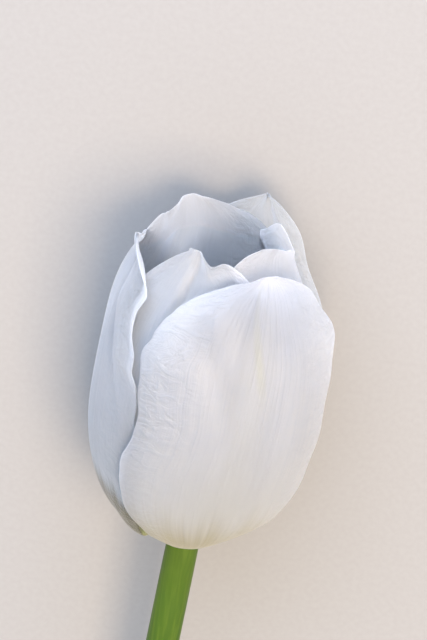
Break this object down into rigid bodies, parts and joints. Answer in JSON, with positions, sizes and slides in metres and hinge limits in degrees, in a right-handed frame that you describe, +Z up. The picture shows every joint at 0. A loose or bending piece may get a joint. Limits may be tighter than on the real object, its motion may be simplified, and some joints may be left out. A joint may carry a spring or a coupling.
{
  "type": "white tulip",
  "caption": "Cut white tulip lying on its side: a half-open cup of overlapping petals round stamens and pistil, a bare round stem and clasping lance-shaped leaves.",
  "frame": {"origin": "on the surface the flower lies on, under the middle of its bounding box", "axes": "+Y along the flower from the cut foot of the stem to the opening of the cup, +Z up away from the surface, +X to the right of the cup seen from above with the opening away from the viewer"},
  "size_m": [0.0952, 0.2984, 0.0486],
  "materials": {
    "petal_white": "satin",
    "stem_green": "satin",
    "leaf_green": "matte",
    "stamen_yellow": "matte",
    "pistil_green": "satin"
  },
  "bodies": {
    "root": {"stem": "stem_green", "leaf_lower": "leaf_green", "leaf_upper": "leaf_green", "outer_petal_top": "petal_white", "outer_petal_left": "petal_white", "outer_petal_under": "petal_white", "inner_petal_top": "petal_white", "inner_petal_right": "petal_white", "inner_petal_under": "petal_white", "stamens": "stamen_yellow", "pistil": "pistil_green"}
  },
  "joints": []
}
